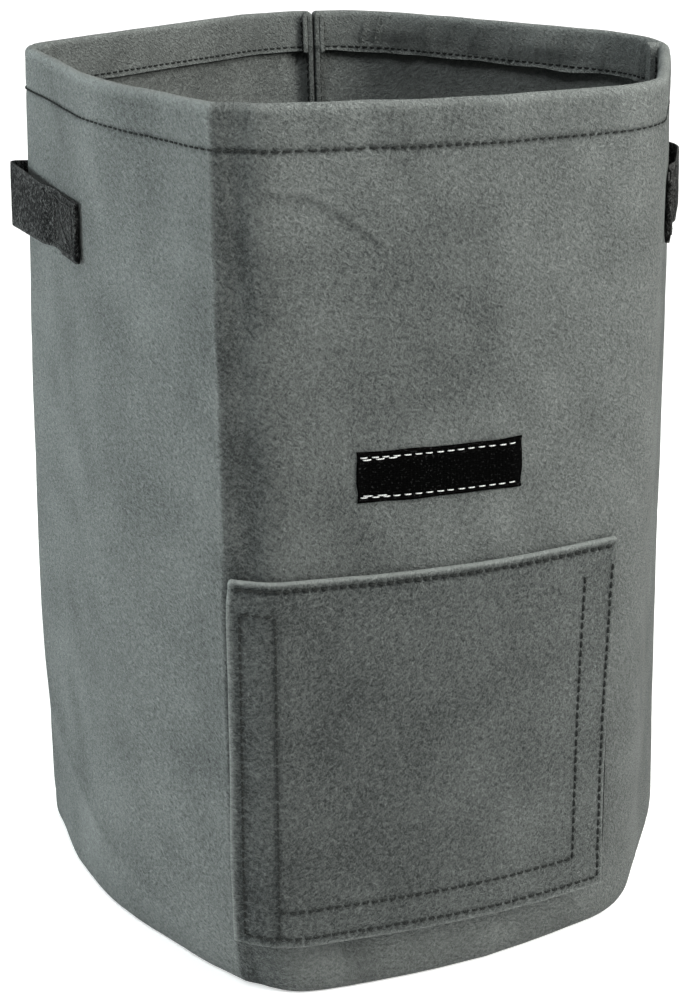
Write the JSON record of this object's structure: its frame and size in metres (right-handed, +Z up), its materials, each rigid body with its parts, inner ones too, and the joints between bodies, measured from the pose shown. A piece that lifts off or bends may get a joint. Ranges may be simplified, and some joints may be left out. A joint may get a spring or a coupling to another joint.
{
  "type": "fabric grow bag",
  "caption": "Standing felt grow bag with a top-hinged harvest flap over a front window, hook-and-loop closure, a hook strip that holds the flap open, and side strap handles.",
  "frame": {"origin": "on the ground under the middle of the standing bag", "axes": "+Z up through the open top, -Y out of the front that carries the flap, +X to the right of a person facing the flap"},
  "size_m": [0.371, 0.3814, 0.45],
  "materials": {
    "grey_felt": "needle-punched felt",
    "grey_thread": "spun thread",
    "hook_tape": "hook tape",
    "loop_tape": "napped loop tape",
    "white_thread": "spun thread",
    "black_thread": "spun thread",
    "black_strap": "felted strap"
  },
  "bodies": {
    "bag": {"back_seam_stitching": "grey_thread", "base_panel": "grey_felt", "base_seam_stitching": "grey_thread", "flap_hinge_hem": "grey_felt", "flap_hinge_stitching": "grey_thread", "handle_left_front_end": "black_strap", "handle_left_rear_end": "black_strap", "handle_left_stitching": "black_thread", "handle_right_front_end": "black_strap", "handle_right_rear_end": "black_strap", "handle_right_stitching": "black_thread", "hook_strip": "hook_tape", "hook_strip_stitching": "white_thread", "left_seam_stitching": "grey_thread", "right_seam_stitching": "grey_thread", "rim_hem_stitching": "grey_thread", "wall_back_left_panel": "grey_felt", "wall_back_right_panel": "grey_felt", "wall_front_panel": "grey_felt", "window_loop_tape_bottom": "loop_tape", "window_loop_tape_left": "loop_tape", "window_loop_tape_right": "loop_tape", "window_tape_stitching": "black_thread"},
    "flap": {"flap_hook_tape_bottom": "hook_tape", "flap_hook_tape_left": "hook_tape", "flap_hook_tape_right": "hook_tape", "flap_panel": "grey_felt", "flap_tape_stitching": "grey_thread"},
    "left_grip": {"handle_left_grip": "black_strap"},
    "right_grip": {"handle_right_grip": "black_strap"}
  },
  "joints": [
    {"name": "flap_hinge", "type": "hinge", "parent": "bag", "child": "flap", "pos_m": [-0.016, -0.1785, 0.216], "axis": [-1, 0, 0], "range_deg": [0, 180]},
    {"name": "left_handle_lift", "type": "slide", "parent": "bag", "child": "left_grip", "axis": [0, 0, 1], "range_m": [-0.01, 0.02]},
    {"name": "right_handle_lift", "type": "slide", "parent": "bag", "child": "right_grip", "axis": [0, 0, 1], "range_m": [-0.01, 0.02]}
  ]
}
